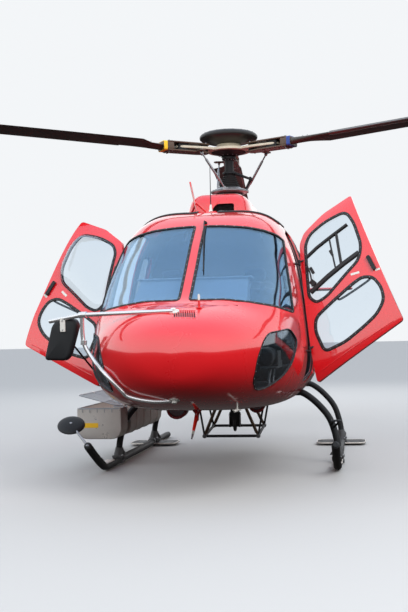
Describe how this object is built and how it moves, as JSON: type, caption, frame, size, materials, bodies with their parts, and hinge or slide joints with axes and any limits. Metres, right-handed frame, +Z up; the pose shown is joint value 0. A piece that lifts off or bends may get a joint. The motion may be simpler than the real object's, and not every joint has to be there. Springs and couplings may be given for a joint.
{
  "type": "light utility helicopter",
  "caption": "Light single-engine utility helicopter on high skids, with open front doors, turning rotors, a cargo basket and a belly hook.",
  "frame": {"origin": "middle of the footprint of the whole helicopter, on the ground under the skids", "axes": "-Y towards the nose, +Y towards the tail, +X towards port (the pilot's left), +Z up"},
  "size_m": [9.3596, 10.93, 3.51],
  "materials": {
    "red_paint": "gloss red paint with road dust",
    "glazing": "clear acrylic",
    "trim_grey": "matte grey lining",
    "cast_housing": "dull grey casting",
    "bare_steel": "bare stainless steel",
    "alloy": "satin light alloy",
    "blade_coat": "satin brown-grey composite",
    "black_coat": "satin black coat",
    "cream_composite": "cream composite",
    "seat_cover": "dark woven cover",
    "panel_plastic": "matte black"
  },
  "bodies": {
    "airframe": {"nose_shell": "red_paint", "chin_window_left": "glazing", "chin_window_right": "glazing", "cabin_floor": "red_paint", "windscreen_frame": "red_paint", "windscreen_left": "glazing", "windscreen_right": "glazing", "roof_panel": "red_paint", "skylight_left": "glazing", "skylight_right": "glazing", "side_frame_left": "red_paint", "side_frame_right": "red_paint", "rear_bulkhead": "trim_grey", "rear_door_left": "red_paint", "rear_door_left_window": "glazing", "rear_door_right": "red_paint", "rear_door_right_window": "glazing", "centre_body": "red_paint", "transmission_cowling": "red_paint", "engine_cowling": "red_paint", "engine_and_gearbox": "cast_housing", "exhaust_pipe": "bare_steel", "tail_boom": "red_paint", "driveshaft_cover": "red_paint", "horizontal_stabilizer": "red_paint", "upper_fin": "red_paint", "lower_fin": "red_paint", "tail_gearbox": "alloy", "skid_left": "black_coat", "skid_right": "black_coat", "cross_tube_front": "black_coat", "cross_tube_rear": "black_coat", "mirror_frame": "alloy", "mirror": "black_coat", "pitot_tube": "cream_composite", "wire_cutter_upper": "red_paint", "hook_frame": "black_coat", "cargo_hook": "black_coat", "basket": "bare_steel", "seat_left": "seat_cover", "seat_right": "seat_cover", "rear_bench": "seat_cover", "instrument_panel": "panel_plastic"},
    "main_rotor": {"rotor_mast": "black_coat", "swashplate": "alloy", "rotor_head": "cream_composite", "rotor_cap": "black_coat", "main_blade_1": "blade_coat", "main_blade_2": "blade_coat", "main_blade_3": "blade_coat"},
    "tail_rotor": {"tail_rotor": "blade_coat"},
    "front_door_left": {"front_door_left": "red_paint", "front_door_left_upper_window": "glazing", "front_door_left_lower_window": "glazing"},
    "front_door_right": {"front_door_right": "red_paint", "front_door_right_upper_window": "glazing", "front_door_right_lower_window": "glazing"},
    "bay_door_left": {"bay_door_left": "red_paint"},
    "bay_door_right": {"bay_door_right": "red_paint"},
    "basket_lid": {"basket_lid": "bare_steel"}
  },
  "joints": [
    {"name": "main_rotor_spin", "type": "hinge", "parent": "airframe", "child": "main_rotor", "pos_m": [-0.25874, -2.015, 3.3], "axis": [0, 0, 1], "continuous": true},
    {"name": "tail_rotor_spin", "type": "hinge", "parent": "airframe", "child": "tail_rotor", "pos_m": [-0.58874, 4.65, 2.36], "axis": [1, 0, 0], "continuous": true},
    {"name": "front_door_left_swing", "type": "hinge", "parent": "airframe", "child": "front_door_left", "pos_m": [0.70526, -4.148, 0.92], "axis": [-0.1116, 0.3473, 0.9311], "range_deg": [0, 105]},
    {"name": "front_door_right_swing", "type": "hinge", "parent": "airframe", "child": "front_door_right", "pos_m": [-1.22274, -4.148, 0.92], "axis": [0.1116, 0.3473, 0.9311], "range_deg": [-75, 30]},
    {"name": "bay_door_left_lift", "type": "hinge", "parent": "airframe", "child": "bay_door_left", "pos_m": [0.6355, -1.955, 1.569], "axis": [-0.1633, 0.9866, 0], "range_deg": [-95, 0]},
    {"name": "bay_door_right_lift", "type": "hinge", "parent": "airframe", "child": "bay_door_right", "pos_m": [-1.15298, -1.955, 1.569], "axis": [0.1633, 0.9866, 0], "range_deg": [0, 95]},
    {"name": "basket_lid_lift", "type": "hinge", "parent": "airframe", "child": "basket_lid", "pos_m": [-1.27274, -2.865, 0.614], "axis": [0, 1, 0], "range_deg": [-15, 80]}
  ],
  "couplings": [
    {"joint": "tail_rotor_spin", "follows": "main_rotor_spin", "ratio": 5.35}
  ]
}
